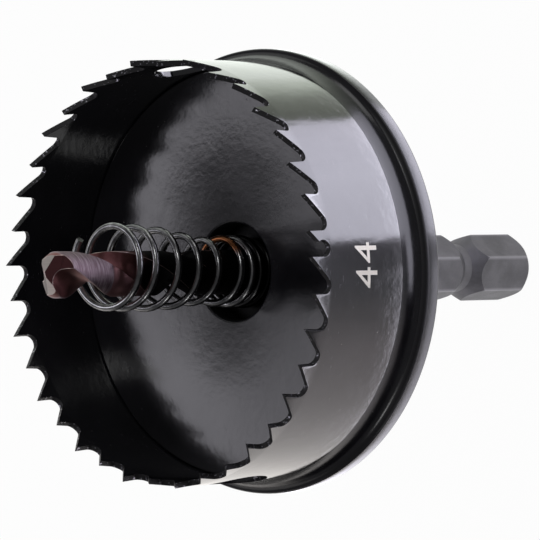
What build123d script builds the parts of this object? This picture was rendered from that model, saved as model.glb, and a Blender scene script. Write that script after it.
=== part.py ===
from build123d import *
import os
from math import acos, asin, atan2, ceil, cos, degrees, hypot, radians, sin, sqrt, tan

# Hole saw: a toothed band on a back plate, a one-piece hex arbor, a pilot drill and an ejecting spring.
# Millimetres and degrees. The origin is the centre of the shank's end face and +Z runs along the axis
# to the teeth. The tool cuts turning right-handed about +Z, so every cutting face looks that way.

# ---------------------------------------------------------------- driving dimensions

# tooth band
cutting_diameter = 44.45        # over the teeth that are set outwards, 1 3/4 in
band_wall = 0.6                 # thickness of the rolled strip
band_depth = 11.5               # plate's inner face to the tooth tips
tooth_set = 0.225               # how far a tip leans out of, or into, the wall
tooth_pitch = 3.765             # tip to tip along the outside of the wall
tooth_depth = 2.5               # tip to gullet bottom
gullet_radius = 0.85
gullet_flats = 2                # steps in which a gullet turns from its cutting face to its floor
seam_angle = -85.7              # direction of the last tip before the band's welded seam
hole_diameter = 6.5             # two holes through the wall, for prising out a plug
hole_angle = 9.1                # direction of the first hole
hole_land = 0.35                # wall between the holes and the plate's inner face

# back plate
flange_diameter = 46.6
flange_thickness = 1.9
rim_chamfer = 0.35
cove_height = 2.3               # coved step from the flange up to the band
cove_corner = 0.5               # share of that height at which its two slopes meet
cove_hollow = 0.35              # how far its hollow goes past a straight slope, sideways
spigot_height = 1.8             # part of the plate that stands inside the band
plate_bore = 10.2

# arbor
shank_across_flats = 6.35       # 1/4 in
shank_length = 33.7             # end face to the collar
end_diameter = 6.0              # across the tapered end
end_taper = 0.9                 # length of that taper
groove_position = 9.5           # end face to the middle of the retaining groove
groove_diameter = 5.2
groove_floor = 1.1              # straight part of the groove's bottom
groove_slope = 29.0             # angle of the groove's sides to the axis
hex_angle = -12.2               # direction of one of the shank's corners
collar_diameter = 12.0
collar_thickness = 4.0
boss_height = 3.6               # flange back to the face that the spring stands on
socket_depth = 11.0             # that face to the bottom of the drill's socket

# pilot drill
drill_diameter = 4.76           # 3/16 in
drill_reach = 33.7              # flange back to the drill's tip
drill_relief = 0.06             # how far the body and shank lie under the head's radius
head_length = 7.5               # full diameter, from the tip
corner_height = 1.5             # tip to where the head's corner starts to taper
corner_taper = 30.0             # angle of that taper to the axis
web_thickness = 1.5             # steel left between the two flutes
flute_width_angle = 93.0        # arc of the drill's edge that a flute takes
flute_lead = 26.0               # axial length of one turn of the flutes
flute_length = 14.0             # tip to where they have run out
flute_runout = 3.5              # length over which the flutes rise to the surface
flute_angle = -94.5             # direction in which one flute opens at the tip
flank_slope = 26.6              # fall of the two facets that carry the lips
flank_angle = 80.5              # direction in which they fall, from the flute
heel_slope = 38.5               # fall of the two steeper facets behind them
heel_angle = 24.0               # direction in which these fall, from the flute
heel_drop = 0.12                # how far they lie under the first two on the axis

# ejecting spring
wire_diameter = 0.75
wire_sides = 6                  # flats that stand for the round wire
steps_per_turn = 11             # straight runs that stand for a turn of it
spring_reach = 25.4             # flange back to the middle of the free end of the wire
spring_end_angle = 50.0         # direction of that end
seat_coil_diameter = 7.65       # outside diameter of the close coils that stand on the arbor
waist_diameter = 7.0            # narrowest coil
mouth_diameter = 9.2            # last coil
shoulder_diameter = 8.9
waist_rise = 7.0                # seat to the narrowest coil
shoulder_rise = 14.0            # seat to the shoulder, where the coils are nearly as wide as the mouth
seat_turns = 3.1
seat_pitch = 1.3
working_pitch = 3.4
mouth_turns = 1.25
mouth_pitch = 1.8

# clearances
band_gap = 0.02                 # band round the plate's spigot
arbor_gap = 0.01                # arbor in the plate's bore
socket_gap = 0.01               # drill in the arbor's socket
seat_gap = 0.02                 # spring over the arbor's face

# ---------------------------------------------------------------- derived sizes

flange_back = shank_length + collar_thickness
flange_front = flange_back + flange_thickness
band_foot = flange_front + cove_height
plate_face = band_foot + spigot_height
tip_height = plate_face + band_depth
gullet_height = tip_height - tooth_depth

band_radius = cutting_diameter / 2 - tooth_set
band_bore = band_radius - band_wall
pitch_angle = degrees(tooth_pitch / band_radius)
tooth_count = max(4, round(360 / pitch_angle))
seam_pitch_angle = 360 - (tooth_count - 1) * pitch_angle
first_tip = seam_angle + seam_pitch_angle
outward_count = tooth_count // 2
inward_count = tooth_count - outward_count

# back of a tooth: the line from the next tip that touches the gullet's round
gullet_centre = tooth_depth - gullet_radius
back_reach = tooth_pitch - gullet_radius
back_angle = degrees(atan2(gullet_centre, back_reach) + asin(gullet_radius / hypot(gullet_centre, back_reach)))
gullet_angle = degrees(asin(gullet_radius / band_radius))

# the teeth lean from the gullets' floor up; their blank stands a little over the tips
blank_top = tip_height + 0.2 * tooth_depth
lean_reach = tooth_set * (blank_top - gullet_height) / tooth_depth

arbor_face = flange_back + boss_height
drill_tip = flange_back + drill_reach
drill_radius = drill_diameter / 2
body_radius = drill_radius - drill_relief


def spoke(angle, height=0.0):
    """Upright plane through the axis: x outwards at this angle, y along +Z."""
    outward = (cos(radians(angle)), sin(radians(angle)), 0)
    sideways = (sin(radians(angle)), -cos(radians(angle)), 0)
    return Plane(origin=(0, 0, height), x_dir=outward, z_dir=sideways)


def tangent(angle, height=0.0):
    """Upright plane that faces outwards at this angle: x the way the saw turns, y along +Z."""
    outward = (cos(radians(angle)), sin(radians(angle)), 0)
    onward = (-sin(radians(angle)), cos(radians(angle)), 0)
    return Plane(origin=(0, 0, height), x_dir=onward, z_dir=outward)


def facet(angle, slope, height):
    """Plane across the axis at this height, falling towards this angle."""
    fall = radians(slope)
    lean = (sin(fall) * cos(radians(angle)), sin(fall) * sin(radians(angle)), cos(fall))
    return Plane(origin=(0, 0, height), z_dir=lean)


def gullet_corners(gap_angle):
    """A gullet between two tips, seen from outside: cutting face, hollow, floor, back of the next tooth."""
    slope = radians(back_angle)
    next_tip = band_radius * sin(radians(gap_angle - gullet_angle))
    step = 90 / gullet_flats
    corner_radius = gullet_radius / cos(radians(step / 2))
    floor_end = next_tip - tooth_depth / tan(slope)
    if floor_end > 0:
        turns = [180 + step * (i + 0.5) for i in range(gullet_flats)]
        last = (floor_end, -tooth_depth)
    else:
        # a short back: the hollow runs on under the next tooth and meets the back from inside
        reach = next_tip * sin(slope) - gullet_centre * cos(slope)
        end = 270 + back_angle + degrees(acos(reach / gullet_radius))
        turns = [180 + step * (i + 0.5) for i in range(ceil((end - 180) / step - 0.5))]
        last = (gullet_radius * cos(radians(end)), gullet_radius * sin(radians(end)) - gullet_centre)
    hollow = [(corner_radius * cos(radians(t)), corner_radius * sin(radians(t)) - gullet_centre) for t in turns]
    over = 2 * band_wall
    return hollow + [
        last,
        (next_tip, 0),
        (next_tip + over, over * tan(slope)),
        (next_tip + over, 2 * over),
        (-gullet_radius, 2 * over),
    ]


def tooth(lean, gap_angle):
    """One tooth with its tip at angle 0, leaning outwards by lean, that far behind it the next tip."""
    with BuildPart() as cut_tooth:
        with BuildSketch(spoke(gullet_angle - gap_angle)):
            with BuildLine():
                Polyline(
                    (band_bore, gullet_height),
                    (band_radius, gullet_height),
                    (band_radius + lean, blank_top),
                    (band_bore + lean, blank_top),
                    close=True,
                )
            make_face()
        revolve(axis=Axis.Z, revolution_arc=gap_angle)
        for gullet in (gullet_angle, gullet_angle - gap_angle):
            with BuildSketch(tangent(gullet, tip_height)):
                Polygon(*gullet_corners(gap_angle), align=None)
            extrude(amount=band_radius + lean_reach, mode=Mode.SUBTRACT)
    return cut_tooth.part


def between(value, stops):
    """Straight-line interpolation in a list of (place, size) pairs."""
    for (x0, y0), (x1, y1) in zip(stops, stops[1:]):
        if value <= x1:
            return y0 + (y1 - y0) * max(0.0, value - x0) / (x1 - x0)
    return stops[-1][1]


os.makedirs("parts", exist_ok=True)

# ---------------------------------------------------------------- back plate

with BuildPart() as back_plate:
    with BuildSketch(Plane.XZ) as section:
        with BuildLine():
            rim_radius = flange_diameter / 2
            cove_radius = rim_radius - cove_corner * (rim_radius - band_radius) - cove_hollow
            Polyline(
                (plate_bore / 2, flange_back),
                (rim_radius, flange_back),
                (rim_radius, flange_front),
                (cove_radius, flange_front + cove_corner * cove_height),
                (band_radius, band_foot),
                (band_bore - band_gap, band_foot),
                (band_bore - band_gap, plate_face),
                (plate_bore / 2, plate_face),
                close=True,
            )
        make_face()
        rim_corner = section.vertices().group_by(Axis.X)[-1].group_by(Axis.Y)[0]
        chamfer(rim_corner, rim_chamfer)
    revolve(axis=Axis.Z)

back_plate.part.label = "back_plate"
export_step(back_plate.part, "parts/back_plate.step")

# ---------------------------------------------------------------- saw band

with BuildPart() as saw_band:
    with BuildSketch(Plane.XY.offset(band_foot)):
        Circle(band_radius)
        Circle(band_bore, mode=Mode.SUBTRACT)
    extrude(amount=gullet_height - band_foot)
    # the teeth, set inwards and outwards by turns from the one that follows the seam
    with PolarLocations(0, 1, first_tip):
        add(tooth(-lean_reach, seam_pitch_angle))
    with PolarLocations(0, outward_count, first_tip + pitch_angle, 2 * pitch_angle * outward_count):
        add(tooth(lean_reach, pitch_angle))
    with PolarLocations(0, inward_count - 1, first_tip + 2 * pitch_angle, 2 * pitch_angle * (inward_count - 1)):
        add(tooth(-lean_reach, pitch_angle))
    # the plug holes
    hole_height = plate_face + hole_land + hole_diameter / 2
    with BuildSketch(tangent(hole_angle, hole_height), tangent(hole_angle + 180, hole_height)):
        Circle(hole_diameter / 2)
    extrude(amount=band_radius + lean_reach, mode=Mode.SUBTRACT)

saw_band.part.label = "saw_band"
export_step(saw_band.part, "parts/saw_band.step")

# ---------------------------------------------------------------- arbor

corner_radius = shank_across_flats / sqrt(3)
groove_radius = groove_diameter / 2
groove_half = groove_floor / 2 + (corner_radius - groove_radius) / tan(radians(groove_slope))

with BuildPart() as arbor:
    with BuildSketch():
        RegularPolygon(shank_across_flats / 2, 6, major_radius=False, rotation=hex_angle)
    extrude(amount=shank_length + collar_thickness / 2)
    # the hexagon is turned down at its end and at the groove
    with BuildSketch(Plane.XZ):
        with BuildLine():
            Polyline(
                (0, 0),
                (end_diameter / 2, 0),
                (corner_radius, end_taper),
                (shank_across_flats, end_taper),
                (shank_across_flats, groove_position - groove_half),
                (corner_radius, groove_position - groove_half),
                (groove_radius, groove_position - groove_floor / 2),
                (groove_radius, groove_position + groove_floor / 2),
                (corner_radius, groove_position + groove_half),
                (shank_across_flats, groove_position + groove_half),
                (shank_across_flats, flange_back),
                (0, flange_back),
                close=True,
            )
        make_face()
    revolve(axis=Axis.Z, mode=Mode.INTERSECT)
    with BuildSketch(Plane.XZ):
        with BuildLine():
            boss_radius = plate_bore / 2 - arbor_gap
            Polyline(
                (0, shank_length),
                (collar_diameter / 2, shank_length),
                (collar_diameter / 2, flange_back),
                (boss_radius, flange_back),
                (boss_radius, arbor_face),
                (0, arbor_face),
                close=True,
            )
        make_face()
    revolve(axis=Axis.Z)
    with BuildSketch(Plane.XY.offset(arbor_face)):
        Circle(body_radius + socket_gap)
    extrude(amount=-socket_depth, mode=Mode.SUBTRACT)

arbor.part.label = "arbor"
export_step(arbor.part, "parts/arbor.step")

# ---------------------------------------------------------------- pilot drill

# A flute is round: it touches the web and leaves the drill's edge over flute_width_angle.
half_flute = radians(flute_width_angle / 2)
web_radius = web_thickness / 2
flute_offset = (drill_radius**2 - web_radius**2) / (2 * (drill_radius * cos(half_flute) - web_radius))
flute_radius = flute_offset - web_radius
flute_foot = drill_tip - flute_length
drill_foot = arbor_face - socket_depth + socket_gap
head_foot = drill_tip - head_length
corner_foot = drill_tip - corner_height
tip_radius = drill_radius - corner_height * tan(radians(corner_taper))
twist_length = flute_length + corner_height
start_angle = flute_angle - 360 * flute_length / flute_lead
twist_steps = ceil(12 * twist_length / flute_lead)

with BuildPart() as pilot_drill:
    # fluted body: one section after another, each turned a little further up the twist
    for i in range(twist_steps + 1):
        climb = twist_length * i / twist_steps
        with BuildSketch(Plane.XY.offset(flute_foot + climb)):
            Circle(drill_radius + web_radius)
            with PolarLocations(flute_offset, 2, start_angle + 360 * climb / flute_lead):
                Circle(flute_radius, mode=Mode.SUBTRACT)
    loft()
    # plain shank, and the cone on which the flutes run out
    with BuildSketch(Plane.XZ):
        with BuildLine():
            Polyline(
                (0, drill_foot),
                (body_radius, drill_foot),
                (body_radius, flute_foot),
                (web_radius / 2, flute_foot + flute_runout),
                (0, flute_foot + flute_runout),
                close=True,
            )
        make_face()
    revolve(axis=Axis.Z)
    # turned to size: relieved behind the head, with a tapered corner
    with BuildSketch(Plane.XZ):
        with BuildLine():
            Polyline(
                (0, drill_foot),
                (body_radius, drill_foot),
                (body_radius, head_foot - drill_relief),
                (drill_radius, head_foot),
                (drill_radius, corner_foot),
                (tip_radius, drill_tip),
                (tip_radius, drill_tip + corner_height),
                (0, drill_tip + corner_height),
                close=True,
            )
        make_face()
    revolve(axis=Axis.Z, mode=Mode.INTERSECT)
    for side in (0, 180):
        split(bisect_by=facet(flute_angle + flank_angle + side, flank_slope, drill_tip + heel_drop), keep=Keep.BOTTOM)
        split(bisect_by=facet(flute_angle + heel_angle + side, heel_slope, drill_tip), keep=Keep.BOTTOM)

pilot_drill.part.label = "pilot_drill"
export_step(pilot_drill.part, "parts/pilot_drill.step")

# ---------------------------------------------------------------- ejecting spring

seat_height = arbor_face + seat_gap + wire_diameter / 2
spring_rise = flange_back + spring_reach - seat_height
seat_rise = seat_turns * seat_pitch
mouth_foot = spring_rise - mouth_turns * mouth_pitch
working_turns = (mouth_foot - seat_rise) / working_pitch
total_turns = seat_turns + working_turns + mouth_turns
rise_stops = [
    (0, 0),
    (seat_turns, seat_rise),
    (seat_turns + working_turns, mouth_foot),
    (total_turns, spring_rise),
]
coil_stops = [
    (0, seat_coil_diameter),
    (seat_rise, seat_coil_diameter),
    (waist_rise, waist_diameter),
    (shoulder_rise, shoulder_diameter),
    (spring_rise, mouth_diameter),
]
steps = round(total_turns * steps_per_turn)
route = []
for i in range(steps + 1):
    turns = total_turns * i / steps
    rise = between(turns, rise_stops)
    coil_radius = (between(rise, coil_stops) - wire_diameter) / 2
    angle = radians(spring_end_angle + 360 * (total_turns - turns))
    route.append((coil_radius * cos(angle), coil_radius * sin(angle), seat_height + rise))

with BuildPart() as eject_spring:
    with BuildLine() as coil:
        Polyline(*route)
    with BuildSketch(Plane(origin=coil.line @ 0, z_dir=coil.line % 0)):
        RegularPolygon(wire_diameter / 2, wire_sides)
    sweep(transition=Transition.RIGHT)

eject_spring.part.label = "eject_spring"
export_step(eject_spring.part, "parts/eject_spring.step")
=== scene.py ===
# %% [markdown]
# # A hole saw, dressed for its picture
#
# The solids of a hole saw come ready made from CAD: a toothed band, a back plate, an arbor with a hex
# shank, a pilot drill and an ejecting spring. They are right in size but plain. This lesson gives each
# of them the form and the finish of the real tool: enamel that mirrors the studio, teeth that lean out
# of the wall, a drill with ground flutes, and a coil of real round wire.

# %% Load the CAD model
from math import acos, asin, atan2, ceil, cos, degrees, hypot, pi, radians, sin, sqrt, tan

import bmesh
import bpy
from mathutils import Matrix, Vector


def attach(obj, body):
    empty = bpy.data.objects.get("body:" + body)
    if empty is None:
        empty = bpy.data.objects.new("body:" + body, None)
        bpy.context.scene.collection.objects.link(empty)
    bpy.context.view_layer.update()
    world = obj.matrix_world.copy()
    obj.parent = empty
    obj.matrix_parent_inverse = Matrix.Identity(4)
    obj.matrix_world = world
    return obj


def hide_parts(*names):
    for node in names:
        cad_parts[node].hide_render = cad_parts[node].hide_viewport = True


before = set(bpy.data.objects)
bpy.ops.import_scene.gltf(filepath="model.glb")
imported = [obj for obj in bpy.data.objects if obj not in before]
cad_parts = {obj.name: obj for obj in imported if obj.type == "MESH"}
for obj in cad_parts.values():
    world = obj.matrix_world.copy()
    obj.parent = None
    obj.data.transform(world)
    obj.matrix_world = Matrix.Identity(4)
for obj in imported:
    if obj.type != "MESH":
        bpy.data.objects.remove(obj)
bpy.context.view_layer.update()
bpy.ops.object.select_all(action="DESELECT")
print("solids:", ", ".join(sorted(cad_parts)))

# %% [markdown]
# ## The camera
#
# The tool is seen from far off through a long lens, so its circles stay nearly true ellipses. The camera
# looks down at the teeth at 47 degrees and lies on its side, which lays the shank to the right. Its
# axes are written as three unit vectors, and a matrix made of them places the camera exactly.

# %% Camera
MM = 0.001

right = Vector((-0.00805, -0.73089, -0.68245))
up = Vector((0.99993, 0.0, -0.0118))
back = Vector((0.00862, -0.6825, 0.73084))
camera_place = Vector((5.55, -429.33, 497.92))

lens = bpy.data.cameras.new("long_lens")
lens.sensor_width = 36
lens.lens = 400
lens.clip_start = 0.05
lens.clip_end = 20
camera = bpy.data.objects.new("camera", lens)
bpy.context.scene.collection.objects.link(camera)
axes = Matrix((right, up, back)).transposed().to_4x4()
camera.matrix_world = Matrix.Translation(camera_place * MM) @ axes
bpy.context.scene.camera = camera
print("camera", [round(c, 3) for c in camera.location])

# %% [markdown]
# ## Working in millimetres
#
# The tool is drawn in millimetres, while Blender counts in metres. Each piece is modelled with one unit
# as a millimetre, because thresholds and bevels are easy to judge that way, and shrunk once at the end.
# The few helpers below say which corners are meant, and hand a finished piece over to the frame.

# %% Helpers for edit mode
def edit(piece):
    """Open a piece in edit mode with everything selected."""
    bpy.ops.object.select_all(action="DESELECT")
    bpy.context.view_layer.objects.active = piece
    piece.select_set(True)
    bpy.ops.object.mode_set(mode="EDIT")
    bpy.ops.mesh.select_all(action="SELECT")


def leave():
    """Go back to object mode."""
    bpy.ops.object.mode_set(mode="OBJECT")


def pick(test):
    """Select the corners whose place passes the test, and the edges and faces between them."""
    bpy.ops.mesh.select_mode(type="VERT")
    corners = bmesh.from_edit_mesh(bpy.context.object.data)
    for corner in corners.verts:
        corner.select_set(False)
    for corner in corners.verts:
        if test(corner.co):
            corner.select_set(True)
    corners.select_flush_mode()
    bmesh.update_edit_mesh(bpy.context.object.data)


def pick_faces(test):
    """Select the faces that pass the test, and count them."""
    bpy.ops.mesh.select_mode(type="FACE")
    faces = bmesh.from_edit_mesh(bpy.context.object.data)
    for face in faces.faces:
        face.select_set(test(face))
    bmesh.update_edit_mesh(bpy.context.object.data)
    return sum(face.select for face in faces.faces)


def draw_on(x, y, z):
    """Extrude what is selected by this much."""
    bpy.ops.mesh.extrude_region_move(TRANSFORM_OT_translate={"value": (x, y, z)})


def outwards():
    """Merge doubled corners and turn every face outwards."""
    bpy.ops.mesh.select_mode(type="VERT")
    bpy.ops.mesh.select_all(action="SELECT")
    bpy.ops.mesh.remove_doubles(threshold=0.0005)
    bpy.ops.mesh.normals_make_consistent(inside=False)


# %% Helpers for whole pieces
def modify(piece, kind, **settings):
    """Add a modifier and apply it."""
    bpy.ops.object.select_all(action="DESELECT")
    bpy.context.view_layer.objects.active = piece
    piece.select_set(True)
    change = piece.modifiers.new(kind.lower(), kind)
    for name, value in settings.items():
        setattr(change, name, value)
    bpy.ops.object.modifier_apply(modifier=change.name)


def finish(piece, node, slot, *paints, angle, flat=()):
    """Shrink a piece to metres, smooth and paint it, and let it stand for its CAD node."""
    piece.data.transform(Matrix.Scale(MM, 4))
    bpy.ops.object.select_all(action="DESELECT")
    bpy.context.view_layer.objects.active = piece
    piece.select_set(True)
    bpy.ops.object.shade_smooth_by_angle(angle=radians(angle))
    for face in piece.data.polygons:
        if face.material_index in flat:
            face.use_smooth = False
    for place, paint in enumerate(paints):
        if place < len(piece.data.materials):
            piece.data.materials[place] = paint
        else:
            piece.data.materials.append(paint)
    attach(piece, "root")
    if node:
        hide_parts(node)
    print(piece.name, len(piece.data.polygons), "faces")


# %% [markdown]
# ## The tooth band: a strip before it is a ring
#
# A real band starts as a flat strip of steel. Its teeth are cut in one long row, they are bent outwards
# and inwards by turns, and the strip is rolled into a ring and welded. A boolean could cut 37 teeth
# out of a tube, but working as the factory does is simpler: one gap between two teeth is drawn flat,
# repeated along the strip, given its thickness and then bent round.
#
# The gap's round bottom is an arc of a circle. From its ends, the corners are extruded up the back of
# the tooth and down to the strip's foot.

# %% The strip's sizes
band_radius = 22.0
band_wall = 0.6
band_foot = 41.9
tip_height = 55.2
tooth_depth = 2.5
tooth_set = 0.22
tooth_pitch = 3.765
gullet_radius = 0.85
seam_angle = -85.7
column_width = 0.45

strip_length = 2 * pi * band_radius
tooth_count = round(strip_length / tooth_pitch)
seam_pitch = strip_length - (tooth_count - 1) * tooth_pitch
gullet_centre = tooth_depth - gullet_radius
back_run = tooth_pitch - gullet_radius
back_slope = atan2(gullet_centre, back_run)
back_angle = back_slope + asin(gullet_radius / hypot(gullet_centre, back_run))
gullet_floor = tip_height - tooth_depth
lean_start = gullet_floor + 0.02
print(tooth_count, "teeth; the gap at the seam is", round(seam_pitch, 2), "mm")


# %% One gap, drawn flat
def draw_gap(name, width):
    """The sheet under one gap: from the cutting face of one tooth to the tip of the next."""
    reach = (width - gullet_radius) * sin(back_angle) - gullet_centre * cos(back_angle)
    sweep = 90 + degrees(back_angle) + degrees(acos(min(1.0, reach / gullet_radius)))
    centre = Vector((gullet_radius, 0, tip_height - gullet_centre))
    bpy.ops.mesh.primitive_circle_add(
        vertices=60, radius=gullet_radius, location=centre, rotation=(pi / 2, 0, 0))
    sheet = bpy.context.object
    sheet.name = name
    bpy.ops.object.transform_apply()
    edit(sheet)

    def turn(place):
        """How far round the hollow a corner is from the foot of the cutting face."""
        return (degrees(atan2(place.z - centre.z, place.x - centre.x)) - 180 + 0.01) % 360

    pick(lambda place: turn(place) > sweep + 0.02)
    bpy.ops.mesh.delete(type="VERT")
    corners = bmesh.from_edit_mesh(sheet.data).verts
    last = max(corners, key=lambda corner: turn(corner.co)).co.copy()
    pick(lambda place: (place - last).length < 0.001)
    draw_on(width - last.x, 0, tip_height - last.z)
    draw_on(0, 0, -gullet_centre)
    draw_on(0, 0, band_foot - tip_height + gullet_centre)
    draw_on(-width, 0, 0)
    draw_on(0, 0, tip_height - gullet_centre - band_foot)
    bpy.ops.mesh.select_all(action="SELECT")
    bpy.ops.mesh.remove_doubles(threshold=0.001)
    bpy.ops.mesh.edge_face_add()
    # narrow columns, so that the sheet can follow the ring
    columns = ceil(width / column_width)
    for column in range(1, columns):
        bpy.ops.mesh.select_all(action="SELECT")
        place = (width * column / columns, 0, 0)
        bpy.ops.mesh.bisect(plane_co=place, plane_no=(1, 0, 0))
    # level rows: one where the teeth start to lean, and some that keep the wall below them straight
    for height in (lean_start, gullet_floor - 0.25, gullet_floor - 0.5, band_foot + 0.2):
        bpy.ops.mesh.select_all(action="SELECT")
        bpy.ops.mesh.bisect(plane_co=(0, 0, height), plane_no=(0, 0, 1))
    bpy.ops.mesh.select_all(action="SELECT")
    bpy.ops.mesh.remove_doubles(threshold=0.02)
    leave()
    return sheet


strip = draw_gap("saw_band_strip", tooth_pitch)
seam = draw_gap("seam_gap", seam_pitch)
print("one gap:", len(strip.data.vertices), "corners")

# %% [markdown]
# ## The row of teeth
#
# An Array modifier repeats the gap 36 times. The last gap is the one at the weld. It is shorter,
# because the strip is cut to the ring's length and not to a whole number of teeth, so its tooth stands
# too close and overhangs the gullet a little.

# %% Repeat the gap and join the seam
modify(strip, "ARRAY", count=tooth_count - 1, use_relative_offset=False,
       use_constant_offset=True, constant_offset_displace=(tooth_pitch, 0, 0))
strip.data.transform(Matrix.Translation((seam_pitch, 0, 0)))
bpy.ops.object.select_all(action="DESELECT")
seam.select_set(True)
strip.select_set(True)
bpy.context.view_layer.objects.active = strip
bpy.ops.object.join()
strip.data.transform(Matrix.Translation((-strip_length / 2, 0, 0)))
edit(strip)
bpy.ops.mesh.remove_doubles(threshold=0.005)
print("strip:", round(strip_length, 1), "mm long,", len(strip.data.vertices), "corners")

# %% [markdown]
# ## Thickness and set
#
# Extruding the sheet gives it its wall. The teeth are then bent out of the wall, one outwards and one
# inwards, which is called their set: it lets the saw cut a groove wider than its own wall. Every corner
# above the gullets is slid sideways in proportion to its height.

# %% Give the strip its wall
draw_on(0, band_wall, 0)
outwards()
end = strip_length / 2
count = pick_faces(
    lambda face: abs(face.normal.x) > 0.99 and abs(face.calc_center_median().x) > end - 0.01)
bpy.ops.mesh.delete(type="FACE")
leave()
print("end faces removed:", count)

# %% Set the teeth
for corner in strip.data.vertices:
    height = corner.co.z - lean_start
    if height > 0.001:
        along = corner.co.x + end
        # a gullet's bottom parts the tooth before it from the tooth behind it
        tooth = int((along - gullet_radius - seam_pitch) // tooth_pitch) + 2
        if along < gullet_radius + 0.001:
            tooth = tooth_count
        elif along < gullet_radius + seam_pitch:
            tooth = 1
        side = 1 if tooth % 2 == 1 else -1
        corner.co.y += side * tooth_set * height / (tip_height - lean_start)
widths = [corner.co.y for corner in strip.data.vertices]
print("the row of teeth is", round(max(widths) - min(widths), 2), "mm wide")

# %% [markdown]
# ## Rolling the strip
#
# A Simple Deform modifier set to Bend turns the strip through a full circle. Its length becomes the
# ring's circumference, and the two ends meet at the weld. The ring's middle lands one radius away, so
# it is moved back to the axis and turned until the weld is where it belongs.

# %% Roll and weld
modify(strip, "SIMPLE_DEFORM", deform_method="BEND", deform_axis="Z", angle=2 * pi)
strip.data.transform(Matrix.Translation((0, -band_radius, 0)))
strip.data.transform(Matrix.Rotation(radians(seam_angle - 90), 4, "Z"))
edit(strip)
outwards()
leave()
radii = [hypot(corner.co.x, corner.co.y) for corner in strip.data.vertices]
print("ring from", round(min(radii), 2), "to", round(max(radii), 2), "mm radius")

# %% [markdown]
# ## Plug holes and edges
#
# Two round holes let a screwdriver in behind a stuck plug. They go through the wall, so a boolean with
# one long bar drills both. A fine bevel then follows every edge. Its faces get the band's second
# material, and so do the cut faces between the teeth: enamel runs off edges, so the paint is thin and
# dull there.

# %% Drill the plug holes
plate_face = 43.7
hole_radius = 3.25
hole_land = 0.35
hole_angle = 9.1
hole_height = plate_face + hole_land + hole_radius
bpy.ops.mesh.primitive_cylinder_add(
    vertices=96, radius=hole_radius, depth=60, location=(0, 0, hole_height), rotation=(0, pi / 2, 0))
bar = bpy.context.object
bpy.ops.object.transform_apply()
bar.data.transform(Matrix.Rotation(radians(hole_angle), 4, "Z"))
modify(strip, "BOOLEAN", operation="DIFFERENCE", object=bar, solver="EXACT")
bpy.data.objects.remove(bar)
print("hole centres at", round(hole_height, 1), "mm")

# %% Bevel all edges, and mark the cut faces
for paint in ("band", "band_edge"):
    strip.data.materials.append(bpy.data.materials.new(paint))
modify(strip, "BEVEL", width=0.035, segments=1, limit_method="ANGLE", angle_limit=radians(50),
       use_clamp_overlap=False, material=1)
cut_foot = band_foot + 8
for face in strip.data.polygons:
    out = Vector((face.center.x, face.center.y, 0)).normalized()
    if abs(face.normal.dot(out)) < 0.5 and face.center.z > cut_foot:
        face.material_index = 1
print("band:", len(strip.data.polygons), "faces")

# %% [markdown]
# ## The back plate
#
# The plate is turned on a lathe, and so is its model: half of its section is drawn corner by corner and
# spun round the axis. A narrow cove leads from the flange up to the band, and the flange's edges are
# rounded. Bevelling a corner of the section before it is spun rounds the whole ring.

# %% A lathe
def turned(name, section, rounds=(), steps=180):
    """Draw a closed section of (radius, height) corners, round some of them, and spin it."""
    first = section[0]
    bpy.ops.mesh.primitive_plane_add(size=0.1, location=(first[0], 0, first[1]))
    piece = bpy.context.object
    piece.name = name
    bpy.ops.object.transform_apply()
    edit(piece)
    bpy.ops.mesh.merge(type="CENTER")
    here = first
    for corner in section[1:]:
        draw_on(corner[0] - here[0], 0, corner[1] - here[1])
        here = corner
    draw_on(first[0] - here[0], 0, first[1] - here[1])
    bpy.ops.mesh.select_all(action="SELECT")
    bpy.ops.mesh.remove_doubles(threshold=0.001)
    for radius, height, size, segments in rounds:
        pick(lambda place: abs(place.x - radius) < 0.001 and abs(place.z - height) < 0.001)
        bpy.ops.mesh.bevel(affect="VERTICES", offset=size, segments=segments)
    bpy.ops.mesh.select_all(action="SELECT")
    bpy.ops.mesh.spin(steps=steps, angle=2 * pi, center=(0, 0, 0), axis=(0, 0, 1))
    outwards()
    leave()
    return piece


# %% Turn the plate
rim_radius = 23.295
flange_back = 37.7
flange_front = 39.6
bore_radius = 5.1
spigot_radius = 21.38
cove_edge = 23.1
cove_width = 1.1
cove_rise = 2.3
cove_steps = 12

cove_turns = [radians(90 * step / cove_steps) for step in range(cove_steps + 1)]
cove = [(cove_edge - cove_width * sin(turn), flange_front + cove_rise - cove_rise * cos(turn))
        for turn in cove_turns]
plate_section = [
    (bore_radius, flange_back), (rim_radius, flange_back), (rim_radius, flange_front),
    *cove,
    (spigot_radius, band_foot), (spigot_radius, plate_face), (bore_radius, plate_face),
]
# a round: the corner's radius and height, its size, and its number of faces
plate_rounds = [
    (rim_radius, flange_back, 0.3, 5), (rim_radius, flange_front, 0.25, 5),
    (bore_radius, plate_face, 0.3, 3), (spigot_radius, plate_face, 0.25, 3),
]
plate = turned("back_plate_turned", plate_section, rounds=plate_rounds)
print("plate:", [round(size, 1) for size in plate.dimensions])

# %% [markdown]
# ## The pilot drill
#
# A twist drill has two flutes that wind round it. Its section is the same all the way, only turned a
# little further at each height. So one ring of corners is slid into the shape of that section, and then
# extruded upwards and turned, step by step. Where the flutes run out, and where the head is ground
# thicker than the body, the corners are held between two limits of radius.

# %% The drill's section
drill_tip = 71.4
drill_foot = 30.31
drill_radius = 2.38
body_radius = 2.32
blank_radius = 1.1 * drill_radius
web_radius = 0.75
half_flute = radians(46.5)
flute_reach = drill_radius * cos(half_flute) - web_radius
flute_offset = (drill_radius**2 - web_radius**2) / (2 * flute_reach)
flute_radius = flute_offset - web_radius


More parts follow.
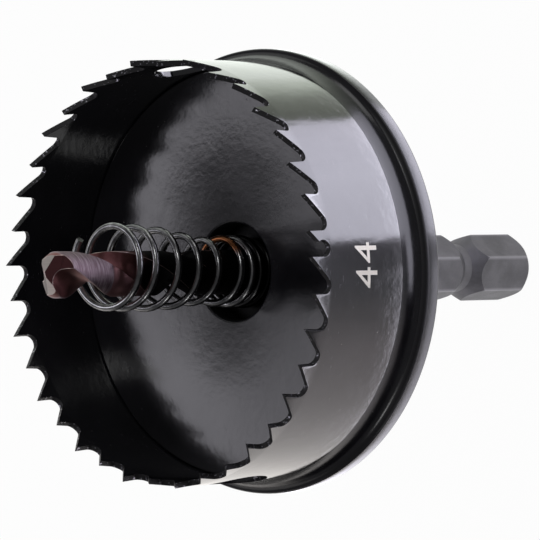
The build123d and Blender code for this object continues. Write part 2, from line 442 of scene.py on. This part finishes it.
def section_radius(turn):
    """The section's radius in a direction, counted from the middle of one flute."""
    turn = abs((turn + pi / 2) % pi - pi / 2)
    if turn >= half_flute:
        return blank_radius
    across = flute_offset * sin(turn)
    return min(blank_radius, flute_offset * cos(turn) - sqrt(flute_radius**2 - across**2))


print("a flute is ground", round(flute_radius, 2), "mm round")

# %% How the section changes along the drill
flute_lead = 26.0
flute_angle = radians(-94.5)
flutes_end = 50.0
run_out = 4
twist_start = 48.0
head_foot = drill_tip - 7.5
chamfer_foot = drill_tip - 1.5
chamfer_angle = radians(30)


def held(radius, height):
    """The radius after turning: flutes that run out, a head that is ground and chamfered."""
    flute_share = max(0.0, min(1.0, (flutes_end + run_out - height) / run_out))
    low = web_radius + (body_radius - web_radius) * flute_share
    high = drill_radius if height > head_foot else body_radius
    if height > chamfer_foot:
        high = drill_radius - (height - chamfer_foot) * tan(chamfer_angle)
    if height < flutes_end + run_out:
        return max(min(radius, high), min(low, high))
    return min(radius, high)


half = [half_flute * (step / 14) for step in range(-14, 15)]
land = [half_flute + (pi - 2 * half_flute) * step / 14 for step in range(1, 14)]
directions = [turn + side for side in (0, pi) for turn in (*half, *land)]
heights = [drill_foot, twist_start]
while heights[-1] < drill_tip + 1.5:
    heights.append(heights[-1] + 0.25)
heights += [head_foot, head_foot + 0.06, chamfer_foot]
heights = sorted(set(round(height, 3) for height in heights))
print(len(heights), "rings of", len(directions), "corners")

# %% Wind the flutes
bpy.ops.mesh.primitive_circle_add(
    vertices=len(directions), radius=1, fill_type="NGON", location=(0, 0, 0))
drill = bpy.context.object
drill.name = "pilot_drill_ground"
for corner, turn in zip(drill.data.vertices, directions):
    radius = section_radius(turn)
    corner.co = Vector((radius * cos(turn), radius * sin(turn), heights[0]))
edit(drill)
for low, high in zip(heights, heights[1:]):
    draw_on(0, 0, high - low)
leave()
for corner in drill.data.vertices:
    twist = flute_angle - 2 * pi * (drill_tip - max(corner.co.z, twist_start)) / flute_lead
    radius = held(hypot(corner.co.x, corner.co.y), corner.co.z)
    turn = atan2(corner.co.y, corner.co.x) + twist
    corner.co.x = radius * cos(turn)
    corner.co.y = radius * sin(turn)
edit(drill)
outwards()
print("drill:", len(drill.data.vertices), "corners")

# %% [markdown]
# ## Grinding the point
#
# Four flat facets make the point: two carry the cutting lips, and two steeper ones, the heels, clear the
# steel behind them. Bisect cuts along each plane, throws away what lies outside and closes the cut with
# one flat face. The lips' facets are ground last and shine, and the heels stay dark, so each kind gets a
# material of its own.

# %% Grind four facets
# a facet: its direction from the flute, its slope, and the height where its plane meets the axis
lip_facet = (80.5, 26.6, drill_tip + 0.12)
heel_facet = (24.0, 38.5, drill_tip)
facets = []
for side in (0, 180):
    for direction, slope, height in (lip_facet, heel_facet):
        way = flute_angle + radians(direction + side)
        tilt = radians(slope)
        normal = Vector((sin(tilt) * cos(way), sin(tilt) * sin(way), cos(tilt)))
        bpy.ops.mesh.select_mode(type="VERT")
        bpy.ops.mesh.select_all(action="SELECT")
        bpy.ops.mesh.bisect(
            plane_co=(0, 0, height), plane_no=normal, use_fill=True, clear_outer=True)
        facets.append(normal)
outwards()
leave()
print("drill:", len(drill.data.polygons), "faces")

# %% Mark the facets and the sharp edges
for paint in ("drill", "drill_facet", "drill_edge", "drill_heel"):
    drill.data.materials.append(bpy.data.materials.new(paint))
for face in drill.data.polygons:
    for place, normal in enumerate(facets):
        if face.normal.dot(normal) > 0.9995 and face.center.z > drill_tip - 3:
            face.material_index = 1 if place % 2 == 0 else 3
modify(drill, "BEVEL", width=0.03, segments=1, limit_method="ANGLE", angle_limit=radians(38),
       use_clamp_overlap=False, material=2)
print("facets:", sum(face.material_index in (1, 3) for face in drill.data.polygons))

# %% [markdown]
# ## The ejecting spring
#
# The spring is one wire, wound left-handed: close coils at its seat, a waist, and wide coils towards
# the mouth. Its middle line is worked out turn by turn from a few pairs of height and width, and a round
# bevel along that curve is the wire. Its two ends are closed flat, as cut wire is. Nothing guides the
# free end, so it leans a little to one side.

# %% The spring's turns
wire_radius = 0.375
boss_top = 41.3
seat_height = boss_top + 0.02 + wire_radius
spring_rise = flange_back + 25.4 - seat_height
seat_turns, seat_pitch = 3.1, 1.3
mouth_turns, mouth_pitch = 1.25, 1.8
working_pitch = 3.4
end_direction = 50
end_lean = 0.8

seat_rise = seat_turns * seat_pitch
mouth_foot = spring_rise - mouth_turns * mouth_pitch
working_turns = (mouth_foot - seat_rise) / working_pitch
total_turns = seat_turns + working_turns + mouth_turns
rise_stops = [(0, 0), (seat_turns, seat_rise), (seat_turns + working_turns, mouth_foot),
              (total_turns, spring_rise)]
coil_stops = [(0, 7.65), (seat_rise, 7.65), (7.0, 7.0), (14.0, 8.9), (spring_rise, 9.2)]
print("spring:", round(total_turns, 2), "turns,", round(spring_rise, 1), "mm high")


# %% Soft changes of pitch and width
def between(value, stops):
    """Straight-line interpolation in a list of pairs."""
    for (x0, y0), (x1, y1) in zip(stops, stops[1:]):
        if value <= x1:
            return y0 + (y1 - y0) * max(0.0, value - x0) / (x1 - x0)
    return stops[-1][1]


def softly(value, stops, width):
    """The same, averaged over a width, so that the wire has no kink where its pitch changes."""
    top = stops[-1][0]
    width = min(width, value, top - value)
    if width <= 0:
        return between(value, stops)
    return sum(between(value + width * step / 4, stops) for step in range(-4, 5)) / 9


print("waist:", round(softly(7.0, coil_stops, 1.5), 2), "mm wide")

# %% Wind the spring
steps = round(total_turns * 40)
wire = bpy.data.curves.new("spring_wire", "CURVE")
wire.dimensions = "3D"
wire.bevel_depth = wire_radius
wire.bevel_resolution = 5
wire.use_fill_caps = True
coil = wire.splines.new("POLY")
coil.points.add(steps)
for step in range(steps + 1):
    turns = total_turns * step / steps
    rise = softly(turns, rise_stops, 0.4)
    radius = (softly(rise, coil_stops, 1.5) - 2 * wire_radius) / 2
    turn = radians(end_direction + 360 * (total_turns - turns))
    lean = end_lean * (rise / spring_rise) ** 1.4
    coil.points[step].co = (radius * cos(turn) + lean, radius * sin(turn), seat_height + rise, 1)
spring_curve = bpy.data.objects.new("spring_curve", wire)
bpy.context.scene.collection.objects.link(spring_curve)
bpy.context.view_layer.update()
spring_mesh = bpy.data.meshes.new_from_object(spring_curve)
bpy.data.objects.remove(spring_curve)
spring = bpy.data.objects.new("eject_spring_wire", spring_mesh)
bpy.context.scene.collection.objects.link(spring)
edit(spring)
outwards()
leave()
print("spring:", len(spring.data.polygons), "faces")

# %% [markdown]
# ## A size mark
#
# Hole saws carry their size on the wall. The number is set in plain figures, cut into narrow columns so
# that it can bend with the wall, and laid on the enamel as a thin pale layer.

# %% Mark the size
mark_size = 4.6
mark_layer = 0.012
mark_sink = 0.004
mark_angle = radians(-88)
mark_height = 47.2

bpy.ops.object.text_add(location=(0, 0, 0), rotation=(pi / 2, 0, 0))
mark = bpy.context.object
mark.name = "size_mark"
mark.data.body = "44"
mark.data.size = mark_size
mark.data.align_x = "CENTER"
mark.data.align_y = "CENTER"
mark.data.extrude = mark_layer
mark.data.space_character = 1.1
bpy.ops.object.convert(target="MESH")
bpy.ops.object.transform_apply()
edit(mark)
wide = max(abs(corner.co.x) for corner in bmesh.from_edit_mesh(mark.data).verts)
for column in range(-9, 10):
    bpy.ops.mesh.select_all(action="SELECT")
    bpy.ops.mesh.bisect(plane_co=(wide * column / 10, 0, 0), plane_no=(1, 0, 0))
leave()
for corner in mark.data.vertices:
    radius = band_radius + mark_sink - corner.co.y
    turn = mark_angle + corner.co.x / band_radius
    corner.co = Vector((radius * cos(turn), radius * sin(turn), mark_height + corner.co.z))
edit(mark)
outwards()
leave()
print("mark:", len(mark.data.polygons), "faces")

# %% [markdown]
# ## Shader sums as sentences
#
# A material is a small sum over noise patterns. The class below wraps a node's output, so that
# `1 - mask * 0.3` adds the Math nodes by itself. `Finish` starts a material, and its one method `node`
# adds anything else.

# %% Outputs that can be added and multiplied
class Output:
    """One output of a node, with arithmetic."""

    def __init__(self, paint, socket):
        self.paint = paint
        self.socket = socket

    def math(self, operation, first, second):
        return self.paint.node("ShaderNodeMath", {0: first, 1: second}, operation=operation)

    def __add__(self, other):
        return self.math("ADD", self, other)

    def __sub__(self, other):
        return self.math("SUBTRACT", self, other)

    def __rsub__(self, other):
        return self.math("SUBTRACT", other, self)

    def __mul__(self, other):
        return self.math("MULTIPLY", self, other)

    def __gt__(self, other):
        return self.math("GREATER_THAN", self, other)

    def __lt__(self, other):
        return self.math("LESS_THAN", self, other)

    __radd__ = __add__
    __rmul__ = __mul__


# %% A material to write them in
class Finish:
    """A material with one Principled shader."""

    def __init__(self, name, **constants):
        self.material = bpy.data.materials.new(name)
        self.material.use_nodes = True
        self.nodes = self.material.node_tree.nodes
        self.links = self.material.node_tree.links
        self.shader = self.nodes["Principled BSDF"]
        for socket, value in constants.items():
            self.shader.inputs[socket.replace("_", " ")].default_value = value
        place = self.node("ShaderNodeTexCoord", {}, output="Object")
        self.place = self.node("ShaderNodeVectorMath", {0: place, "Scale": 1 / MM}, operation="SCALE")

    def node(self, kind, sockets, output=0, stops=(), **settings):
        """Add a node, set it, feed its sockets with values or outputs, and return one output."""
        node = self.nodes.new(kind)
        for name, value in settings.items():
            setattr(node, name, value)
        if stops:
            ramp = node.color_ramp.elements
            while len(ramp) < len(stops):
                ramp.new(0.5)
            for element, (place, tone) in zip(ramp, stops):
                element.position = place
                element.color = (*tone, 1)
        for name, value in sockets.items():
            if isinstance(value, Output):
                self.links.new(value.socket, node.inputs[name])
            else:
                node.inputs[name].default_value = value
        return Output(self, node.outputs[output])

    def noise(self, scale, detail=3.0, roughness=0.55, stretch=None):
        """Noise with its scale in waves per millimetre."""
        place = self.place
        if stretch:
            place = self.node("ShaderNodeVectorMath", {0: place, 1: stretch}, operation="MULTIPLY")
        sockets = {"Vector": place, "Scale": scale, "Detail": detail, "Roughness": roughness}
        return self.node("ShaderNodeTexNoise", sockets, output="Fac")

    def ramp(self, value, low, high):
        """Stretch the part of a value from low to high over 0 to 1, smoothly."""
        sockets = {"Value": value, "From Min": low, "From Max": high}
        return self.node("ShaderNodeMapRange", sockets, interpolation_type="SMOOTHSTEP")

    def mix(self, share, first, second):
        """Mix two colours."""
        first, second = (tone if isinstance(tone, Output) else (*tone, 1) for tone in (first, second))
        return self.node("ShaderNodeMix", {0: share, 6: first, 7: second}, output=2, data_type="RGBA")

    def spots(self, scale, size):
        """Small round specks: 1 inside, 0 outside."""
        cell = {"Vector": self.place, "Scale": scale}
        near = self.node("ShaderNodeTexVoronoi", cell, output="Distance")
        return 1 - self.ramp(near, size * 0.6, size)

    def parts(self):
        """The place split into x, y and z, and its distance from the axis."""
        split = self.node("ShaderNodeSeparateXYZ", {0: self.place}).socket.node
        x, y, z = (Output(self, output) for output in split.outputs)
        return x, y, z, self.node("ShaderNodeMath", {0: x * x + y * y}, operation="SQRT")

    def bump(self, height, depth):
        """Relief of this height pattern, its depth in millimetres."""
        sockets = {"Height": height, "Distance": depth * MM, "Strength": 1.0}
        return self.node("ShaderNodeBump", sockets)

    def wear(self, **outputs):
        """Feed the shader's sockets, and return the finished material."""
        for socket, output in outputs.items():
            self.links.new(output.socket, self.shader.inputs[socket.replace("_", " ")])
        print(self.material.name, "has", len(self.nodes), "nodes")
        return self.material


# %% [markdown]
# ## Gloss enamel
#
# The band's enamel is black, deep and wet-looking. It isn't perfectly flat: baked paint has a fine
# orange-peel swell that makes reflections waver, and a little dust is caught in it. Handling leaves it
# a touch duller in patches, with fine scratches that run up the wall.

# %% Enamel for the band
enamel = Finish(
    "gloss_enamel", Metallic=0.0, IOR=1.7, Coat_Weight=0.6, Coat_Roughness=0.05, Coat_IOR=1.5)
swell = enamel.noise(0.9, detail=2)
peel = enamel.noise(4.5, detail=3)
patches = enamel.ramp(enamel.noise(0.16, detail=4), 0.4, 0.7)
dust = enamel.spots(1.1, 0.055) * enamel.ramp(enamel.noise(0.35), 0.5, 0.6)
scratches = enamel.ramp(enamel.noise(1.2, detail=2, stretch=(1, 1, 9)), 0.66, 0.74)
colour = enamel.mix(patches, (0.007, 0.007, 0.009), (0.013, 0.012, 0.015))
colour = enamel.mix(scratches * 0.25, colour, (0.08, 0.078, 0.085))
colour = enamel.mix(dust * 0.8, colour, (0.3, 0.26, 0.24))
rough = 0.075 + 0.07 * patches + 0.18 * scratches + 0.4 * dust
height = swell * 0.7 + peel * 0.2 + dust * 0.5
band_paint = enamel.wear(Base_Color=colour, Roughness=rough, Normal=enamel.bump(height, 0.02))

# %% Thin dull paint with bare specks on the cut edges
worn = Finish("worn_edge_steel", IOR=1.4)
grain = worn.noise(6.0, detail=3)
bare = worn.ramp(worn.noise(3.2, detail=4), 0.6, 0.66)
colour = worn.mix(bare, (0.012, 0.011, 0.013), (0.42, 0.41, 0.46))
rough = 0.5 - 0.2 * bare + 0.1 * grain
edge_paint = worn.wear(
    Base_Color=colour, Metallic=bare, Roughness=rough, Normal=worn.bump(grain, 0.006))

# %% [markdown]
# ## Satin enamel
#
# The plate is pressed and then painted thinly. Pressing leaves it a little dished, so it doesn't mirror
# the room like a flat glass: `dish` is that hollow, as relief. The paint has an orange-peel swell and
# caught dust. On two sides it has gathered in the corner between flange and cove and dried dull there.
# Inside the bore nothing was rubbed, and it is duller still; its wall is also painted near black as
# shade.

# %% Where things are on the plate
satin = Finish("satin_enamel", Metallic=0.0, IOR=1.5)
x, y, z, radius = satin.parts()
outside = satin.ramp(radius, 21.5, 21.9)
bore = 1 - satin.ramp(radius, 5.12, 5.2)
round_bore = 1 - satin.ramp(radius, 6, 14)
rim = outside * (1 - satin.ramp(z, 39.1, 39.3))
two_sides = 1 - satin.ramp(x * x, 150, 330)
corner = outside * satin.ramp(z, 39.2, 39.35) * (1 - satin.ramp(z, 40.0, 40.5)) * two_sides
foot = corner * (1 - satin.ramp(z, 39.7, 39.8))
print("masks on the plate:", len(satin.nodes), "nodes")

# %% Enamel for the plate
patches = satin.ramp(satin.noise(0.12, detail=4), 0.35, 0.7)
swell = satin.noise(0.35, detail=3)
peel = satin.noise(1.6, detail=4)
dust = satin.spots(0.9, 0.06) * satin.ramp(satin.noise(0.3), 0.52, 0.6)
colour = satin.mix(patches, (0.01, 0.0095, 0.012), (0.017, 0.016, 0.02))
colour = satin.mix(dust * 0.7, colour, (0.2, 0.18, 0.18))
# painted shade: the bore's wall is painted near black, since the hole lies in shade
colour = satin.mix(bore, colour, (0.003, 0.003, 0.003))
# painted sheen: the flange's rim is painted a lighter grey, standing in for brighter reflections there
colour = satin.mix(rim, colour, (0.035, 0.034, 0.036))
rough = 0.15 + 0.05 * patches + 0.2 * dust + 0.03 * outside + 0.03 * corner + 0.35 * foot
rough = rough + 0.5 * bore + 0.08 * round_bore
dish = radius * radius * 0.12 * (1 - outside)
height = dish + swell * 0.6 * (1 - outside) + peel * 0.28 + dust * 0.4
plate_paint = satin.wear(Base_Color=colour, Roughness=rough, Normal=satin.bump(height, 0.04))

# %% [markdown]
# ## Drill steel
#
# The drill is hardened steel that has taken a purple-brown tint from heat, and its flutes and heels keep
# it. The lands are ground afterwards, round and round, so they are paler, and the head carries fine
# bright lines across the axis. The facets of the lips were ground last and are the brightest.

# %% Steel for the drill's body
tint = Finish("tinted_drill_steel", Metallic=1.0)
x, y, z, radius = tint.parts()
lines = tint.noise(3.0, detail=4, stretch=(0.15, 0.15, 5))
cloud = tint.ramp(tint.noise(0.6, detail=4), 0.3, 0.7)
on_land = tint.ramp(radius, 2.24, 2.31)
on_head = tint.ramp(z, 63.85, 63.95) * on_land
streaks = tint.ramp(lines, 0.42, 0.66)
colour = tint.mix(cloud, (0.13, 0.052, 0.05), (0.22, 0.093, 0.09))
colour = tint.mix(on_land, colour, (0.3, 0.155, 0.16))
colour = tint.mix(on_head, colour, (0.15, 0.1, 0.115))
colour = tint.mix(streaks * on_head * 0.7, colour, (0.5, 0.42, 0.46))
# painted shade: below the part that was ground again, deep inside the spring, the body is painted near
# black
colour = tint.mix(tint.ramp(z, 57.5, 61), (0.008, 0.007, 0.008), colour)
rough = 0.34 + 0.2 * lines + 0.08 * cloud
drill_paint = tint.wear(Base_Color=colour, Roughness=rough, Normal=tint.bump(lines, 0.02))

# %% Steel for the ground point and its edges
def ground_steel(name, dark, pale, rough):
    """Steel with straight grinding lines."""
    steel = Finish(name, Metallic=1.0)
    lines = steel.noise(2.2, detail=4, stretch=(6, 0.4, 0.4))
    return steel.wear(
        Base_Color=steel.mix(lines, dark, pale), Roughness=rough + 0.2 * lines,
        Normal=steel.bump(lines, 0.01))


facet_paint = ground_steel("ground_facet_steel", (0.5, 0.44, 0.42), (0.72, 0.66, 0.63), 0.3)
heel_paint = ground_steel("ground_heel_steel", (0.03, 0.011, 0.012), (0.06, 0.025, 0.027), 0.34)
lip = Finish("bright_lip_steel", Metallic=1.0)
grain = lip.noise(5.0, detail=3)
colour = lip.mix(grain, (0.35, 0.25, 0.24), (0.75, 0.62, 0.58))
lip_paint = lip.wear(
    Base_Color=colour, Roughness=0.25 + 0.2 * grain, Normal=lip.bump(grain, 0.004))

# %% [markdown]
# ## Spring wire and the blackened arbor
#
# Drawn wire has a fine grain and an oil-black skin, and one coil near its seat has a copper tint from
# heat. The coils at its seat, deep in the cup, are painted near black as shade. The arbor is blackened
# too, but coarser: the hexagon was drawn through a die and then tumbled, and a chuck rubs its corners.
# What lies deep in the bore gets no light, and is black.

# %% Wire
skin = Finish("oiled_spring_wire", Metallic=1.0)
x, y, z, radius = skin.parts()
grain = skin.noise(7.0, detail=3)
cloud = skin.ramp(skin.noise(0.8, detail=3), 0.35, 0.7)
heated = skin.ramp(z, 44.6, 45.2) * (1 - skin.ramp(z, 46.2, 47)) * skin.ramp(x, 1.6, 2.6)
colour = skin.mix(cloud, (0.16, 0.16, 0.163), (0.3, 0.298, 0.3))
colour = skin.mix(heated, colour, (0.22, 0.085, 0.035))
# painted shade: the coils at the seat, deep in the cup, are painted near black
colour = skin.mix(skin.ramp(z, 43.2, 44.8), (0.01, 0.01, 0.01), colour)
wire_paint = skin.wear(
    Base_Color=colour, Roughness=0.16 + 0.14 * grain, Normal=skin.bump(grain, 0.008))

# %% Arbor
black = Finish("blackened_steel", Metallic=1.0)
x, y, z, radius = black.parts()
grain = black.noise(5.0, detail=4)
drawn = black.noise(3.0, detail=3, stretch=(4, 4, 0.3))
cloud = black.ramp(black.noise(0.35, detail=4), 0.35, 0.68)
corners = black.ramp(radius, 3.5, 3.66) * (1 - black.ramp(radius, 3.7, 3.9))
colour = black.mix(cloud, (0.12, 0.117, 0.127), (0.16, 0.156, 0.17))
colour = black.mix(corners * 0.7, colour, (0.3, 0.29, 0.32))
colour = black.mix(black.ramp(z, 37.5, 38.5), colour, (0.006, 0.006, 0.006))
rough = 0.38 + 0.15 * grain + 0.08 * drawn - 0.1 * corners
height = grain * 0.6 + drawn * 0.4
arbor_paint = black.wear(Base_Color=colour, Roughness=rough, Normal=black.bump(height, 0.02))

# %% [markdown]
# ## Etched figures
#
# The size mark is etched through the paint. Bare etched steel is pale and warm with a fine grain, and
# it scatters light, so it stays pale where the enamel round it is dark.

# %% Etched steel
etched = Finish("etched_mark", Metallic=0.4)
grain = etched.noise(6.0, detail=3)
colour = etched.mix(grain, (0.62, 0.58, 0.5), (0.82, 0.79, 0.72))
mark_paint = etched.wear(
    Base_Color=colour, Roughness=0.4 + 0.2 * grain, Normal=etched.bump(grain, 0.004))

# %% [markdown]
# ## Handing over
#
# Each piece now gets its finish and stands for its CAD solid. The drill's facets are shaded flat, since
# a stone leaves them truly flat. The arbor's solid is good as it is and only gets its material.

# %% Hand the pieces over
finish(strip, "saw_band", "black_paint", band_paint, edge_paint, angle=30)
finish(plate, "back_plate", "plate_paint", plate_paint, angle=40)
finish(drill, "pilot_drill", "drill_steel", drill_paint, facet_paint, lip_paint, heel_paint,
       angle=30, flat=(1, 3))
finish(spring, "eject_spring", "spring_steel", wire_paint, angle=60)
finish(mark, None, "black_paint", mark_paint, angle=30)
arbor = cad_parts["arbor"]
arbor.data.materials.clear()
arbor.data.materials.append(arbor_paint)

# %% [markdown]
# ## The studio
#
# The tool stands on a pale floor under soft lamps. Glossy black paint has hardly any colour of its
# own: what is seen on it is the studio. The floor is drawn white for the camera and for reflections,
# mixed with a plain matt surface that still takes the tool's shadow.

# %% Floor
bpy.ops.mesh.primitive_plane_add(size=6, location=(0, 0, 0))
floor = bpy.context.object
floor.name = "studio_floor"
paper = Finish("pale_paper", Base_Color=(0.9, 0.9, 0.9, 1), Roughness=0.9)
by_camera, by_gloss, by_glass = (
    paper.node("ShaderNodeLightPath", {}, output=f"Is {ray} Ray")
    for ray in ("Camera", "Glossy", "Transmission"))
seen = by_camera.math("MAXIMUM", by_camera.math("MAXIMUM", by_camera, by_gloss), by_glass)
white = paper.node("ShaderNodeEmission", {"Strength": 1.0})
matt = Output(paper, paper.shader.outputs[0])
blend = paper.node("ShaderNodeMixShader", {0: seen * 0.97, 1: matt, 2: white})
paper.links.new(blend.socket, paper.nodes["Material Output"].inputs["Surface"])
floor.data.materials.append(paper.material)
print("floor:", len(paper.nodes), "nodes")

# %% [markdown]
# ## Lamps
#
# Lamps are given by how bright they look and not by their power, because on gloss paint a lamp is a
# picture of itself. Six wide boxes hang behind the tool, one above the other and brighter towards the
# top. The dished plate mirrors them as soft pale fans. Two large weak boxes fill in from the sides, and
# three small ones draw the highlights on the wire, the drill and the rim.

# %% World and lamps
world = bpy.data.worlds.new("studio")
bpy.context.scene.world = world
world.use_nodes = True
world.node_tree.nodes["Background"].inputs["Color"].default_value = (0.13, 0.13, 0.135, 1)
lamp_aim = Vector((0, 0, 45))


def lamp(name, place, size, glow, tint=(1, 1, 1)):
    """A soft box at a place in millimetres that looks at the tool. The camera doesn't see it."""
    box = bpy.data.lights.new(name, "AREA")
    box.shape = "RECTANGLE"
    box.size = size[0] * MM
    box.size_y = size[1] * MM
    box.energy = glow * pi * box.size * box.size_y
    box.color = tint
    light = bpy.data.objects.new(name, box)
    bpy.context.scene.collection.objects.link(light)
    light.location = Vector(place) * MM
    light.rotation_euler = (lamp_aim - Vector(place)).to_track_quat("-Z", "Y").to_euler()
    light.visible_camera = False


stack_distance = 600
for rise, glow in ((60, 3.3), (54, 3.3), (48, 2.8), (42, 1.9), (36, 1.4), (30, 1.1)):
    out = stack_distance * cos(radians(rise))
    high = plate_face + stack_distance * sin(radians(rise))
    lamp(f"plate_box_{rise}", (12, out, high), (190, 63), glow, tint=(0.94, 0.92, 1.0))
lamp("high_side_box", (500, 490, 290), (420, 420), 0.5, tint=(0.97, 1.0, 0.96))
lamp("low_side_box", (-500, 490, 290), (420, 420), 0.5, tint=(1.0, 0.97, 0.95))
lamp("front_box", (430, -260, 600), (130, 130), 11.0)
lamp("top_box", (620, -60, 160), (260, 260), 1.5)
lamp("under_box", (-560, -200, 420), (130, 130), 6.0)
print("lamps:", len(bpy.data.lights))

# %% [markdown]
# ## A ring of light on the floor
#
# A gloss wall that stands upright mirrors only what lies low around it. So the bright and dark fields on
# the band are painted on a flat ring round the tool's foot. Reflections see it, and neither the camera
# nor matt surfaces do. Its brightness goes round with the angle: a grey-green fade, a broad lavender
# field with a sharp start and end, a dark stretch and a long rise back to grey. Its innermost part is
# brighter, because the flange's rim and the leaned teeth mirror only that.

# %% The ring card
card_radius = 2.9
card_hole = 0.04
card_lift = 0.004
bpy.ops.mesh.primitive_circle_add(
    vertices=96, radius=card_radius, location=(0, 0, card_lift), fill_type="NGON")
ring_card = bpy.context.object
ring_card.name = "ring_card"
bpy.ops.object.transform_apply()
edit(ring_card)
bpy.ops.mesh.inset(thickness=card_radius - card_hole)
bpy.ops.mesh.delete(type="FACE")
leave()
ring_card.visible_camera = False
ring_card.visible_shadow = False
ring_card.visible_diffuse = False
print("ring card:", len(ring_card.data.polygons), "faces")

# %% Places on the card
card = Finish(
    "ring_card_light", Base_Color=(0, 0, 0, 1), Roughness=1.0, Specular_IOR_Level=0.0,
    Emission_Strength=5.0)
x, y, z, radius = card.parts()
way = card.node("ShaderNodeMath", {0: y, 1: x}, operation="ARCTAN2")
# how far round the ring a place is, from 0 to 1 and clockwise
share = (radians(75) - way) * (1 / (2 * pi))
share = share.math("FLOORED_MODULO", share, 1.0)
# how far out it is: the wall's foot mirrors the same edge all round
edge = radius + 2.5 + 6.3 * y.math("DIVIDE", y, radius)
# the lavender field's end slants, and all its ends are a little ragged
share = share - 0.06 * card.ramp(edge, 75, 92) * card.ramp(share, 0.3, 0.42)
share = share + 0.045 * (card.noise(0.3, detail=5, roughness=0.65) - 0.5)
print("places on the card:", len(card.nodes), "nodes")

# %% The card's light
tones = card.node("ShaderNodeValToRGB", {0: share}, stops=[
    (0.0, (0.18, 0.187, 0.18)), (0.15, (0.3, 0.32, 0.295)), (0.18, (0.23, 0.25, 0.22)),
    (0.21, (0.12, 0.13, 0.113)), (0.249, (0.085, 0.092, 0.078)), (0.254, (0.48, 0.47, 0.54)),
    (0.28, (0.58, 0.57, 0.66)), (0.34, (0.71, 0.7, 0.81)), (0.417, (0.7, 0.69, 0.8)),
    (0.423, (0.06, 0.059, 0.068)), (0.48, (0.06, 0.06, 0.065)), (0.55, (0.14, 0.13, 0.135)),
    (0.644, (0.18, 0.17, 0.172)), (0.716, (0.21, 0.2, 0.196)), (0.778, (0.24, 0.23, 0.222)),
    (1.0, (0.19, 0.19, 0.185)),
])
beyond = (share > 0.25) * card.ramp(edge, 180, 260) * (share < 0.42)
beyond = beyond + (share > 0.42) * card.ramp(edge, 75, 90) * (1 - card.ramp(share, 0.7, 0.76))
colour = card.mix(beyond, tones, (0, 0, 0))
near = 1 - card.ramp(edge, 51.6, 52.3)
colour = card.node("ShaderNodeVectorMath", {0: colour, "Scale": 1 + near * 0.9}, operation="SCALE")
colour = card.mix(near * (0.2 + 0.35 * (share > 0.45)), colour, (0.9, 0.88, 1.0))
ring_card.data.materials.append(card.wear(Emission_Color=colour))
bpy.context.scene.view_settings.view_transform = "Standard"
